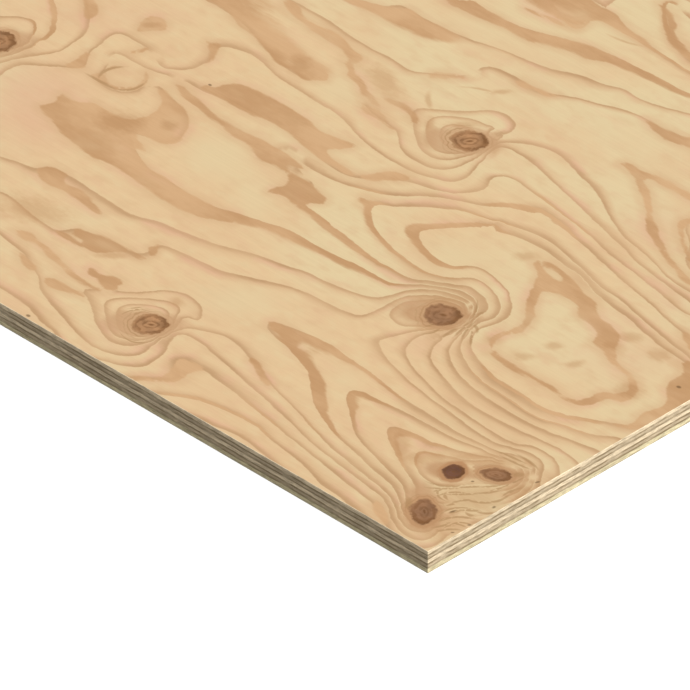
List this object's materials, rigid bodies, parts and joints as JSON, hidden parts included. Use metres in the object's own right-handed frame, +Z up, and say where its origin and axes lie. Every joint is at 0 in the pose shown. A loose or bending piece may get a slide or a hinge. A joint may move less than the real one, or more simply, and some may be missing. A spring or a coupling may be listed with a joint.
{
  "type": "plywood sheet",
  "caption": "Full-size flat sheet of softwood plywood: knotty rotary-cut veneers glued crosswise, with square sawn edges.",
  "frame": {"origin": "centre of the back face, on the surface the sheet lies on", "axes": "+X along the face grain and the long edges, +Y along the ends, +Z up through the plies to the face"},
  "size_m": [2.44, 1.22, 0.018],
  "materials": {
    "face_veneer": "sanded, pale yellow softwood with knots and orange-brown growth rings",
    "crossband_veneer": "sawn, darker than the plies on either side",
    "centre_veneer": "sawn, pale",
    "back_veneer": "sanded, pale yellow softwood"
  },
  "bodies": {
    "root": {"face_ply": "face_veneer", "upper_crossband": "crossband_veneer", "centre_ply": "centre_veneer", "lower_crossband": "crossband_veneer", "back_ply": "back_veneer"}
  },
  "joints": []
}
